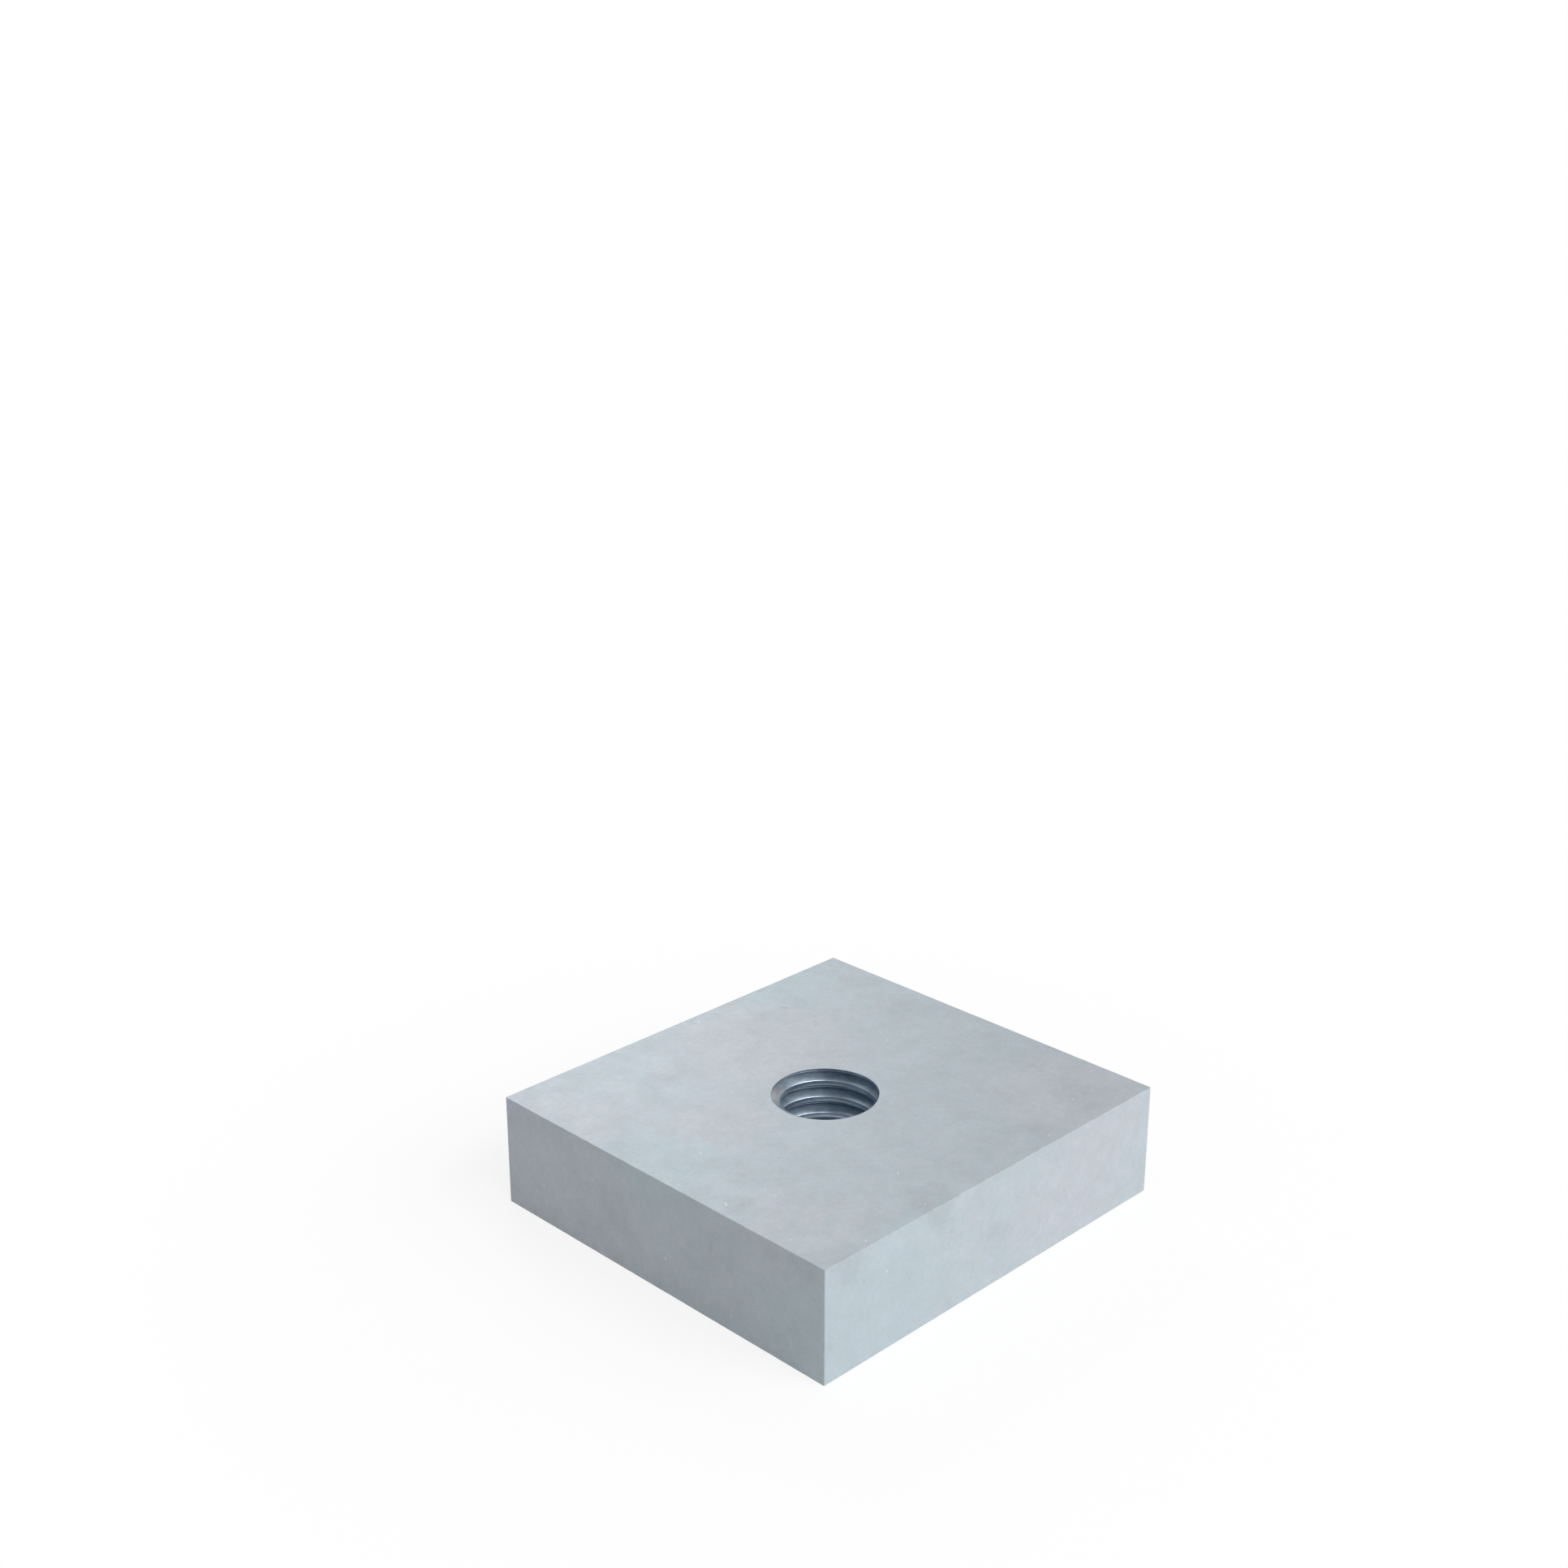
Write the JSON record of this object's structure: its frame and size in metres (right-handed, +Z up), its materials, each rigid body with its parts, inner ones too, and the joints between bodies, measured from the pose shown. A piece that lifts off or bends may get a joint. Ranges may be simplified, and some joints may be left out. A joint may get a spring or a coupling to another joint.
{
  "type": "threaded plate",
  "caption": "Flat rectangular steel plate with a threaded hole straight through its middle, which takes a screw or a threaded rod and spreads its load.",
  "frame": {"origin": "middle of the underside of the plate, on the axis of the hole", "axes": "+X along the width, +Y along the depth, +Z up along the axis of the hole"},
  "size_m": [0.032, 0.03, 0.008],
  "materials": {
    "zinc_plated_steel": "zinc plated, satin, cool grey with soft blue and mauve mottling"
  },
  "bodies": {
    "root": {"plate": "zinc_plated_steel"}
  },
  "joints": []
}
